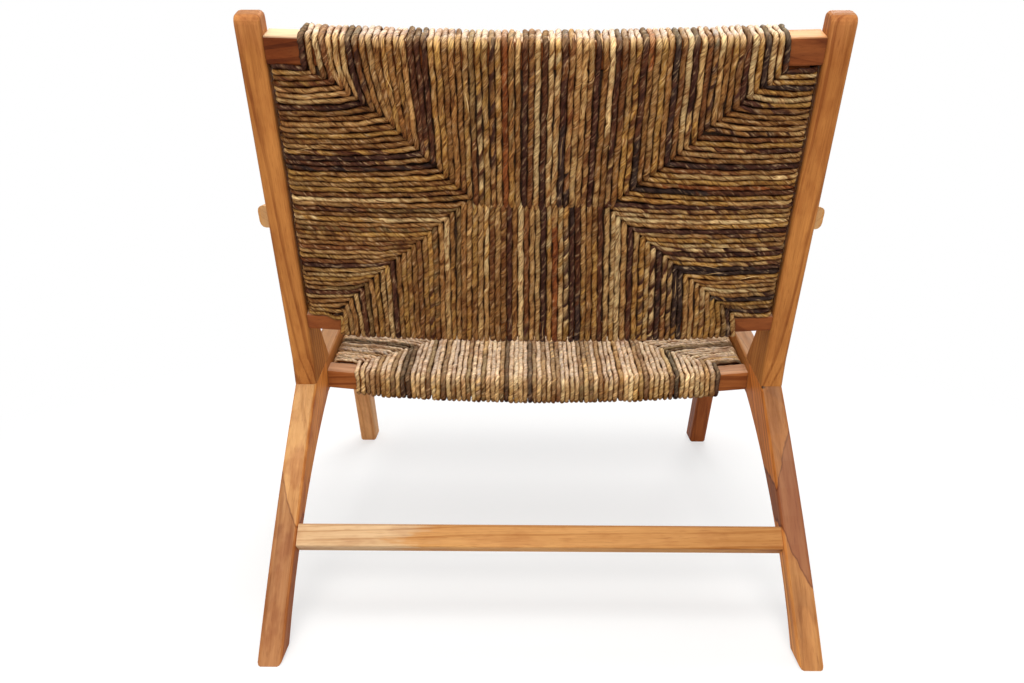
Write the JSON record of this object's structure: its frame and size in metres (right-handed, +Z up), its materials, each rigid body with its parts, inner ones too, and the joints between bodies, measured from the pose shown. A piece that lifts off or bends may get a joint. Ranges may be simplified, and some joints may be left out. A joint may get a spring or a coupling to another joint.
{
  "type": "armchair",
  "caption": "Low teak lounge armchair with flat arms, raked legs, and a dished seat and back woven from natural fibre rope.",
  "frame": {"origin": "on the floor, under the middle of the chair's length and width", "axes": "+Z up, the chair faces -Y, +X towards the sitter's left"},
  "size_m": [0.7394, 0.785, 0.7522],
  "materials": {
    "teak_orange": "satin oiled",
    "teak_tan": "satin oiled",
    "teak_red": "satin oiled",
    "teak_brown": "matte",
    "fibre_rope": "matte twisted fibre"
  },
  "bodies": {
    "root": {"rear_leg_left": "teak_tan", "rear_leg_right": "teak_tan", "side_rail_left": "teak_orange", "side_rail_right": "teak_orange", "back_post_left": "teak_orange", "back_post_right": "teak_orange", "front_leg_left": "teak_red", "front_leg_right": "teak_red", "armrest_left": "teak_orange", "armrest_right": "teak_orange", "post_dowel_rear_left": "teak_tan", "post_dowel_rear_right": "teak_tan", "post_dowel_front_left": "teak_tan", "post_dowel_front_right": "teak_tan", "rear_stretcher": "teak_tan", "back_top_rail": "teak_orange", "back_bottom_rail": "teak_orange", "back_stile_left": "teak_brown", "back_stile_right": "teak_brown", "woven_back": "fibre_rope", "seat_rear_rail": "teak_orange", "seat_front_rail": "teak_orange", "seat_side_bar_left": "teak_brown", "seat_side_bar_right": "teak_brown", "woven_seat": "fibre_rope"}
  },
  "joints": []
}
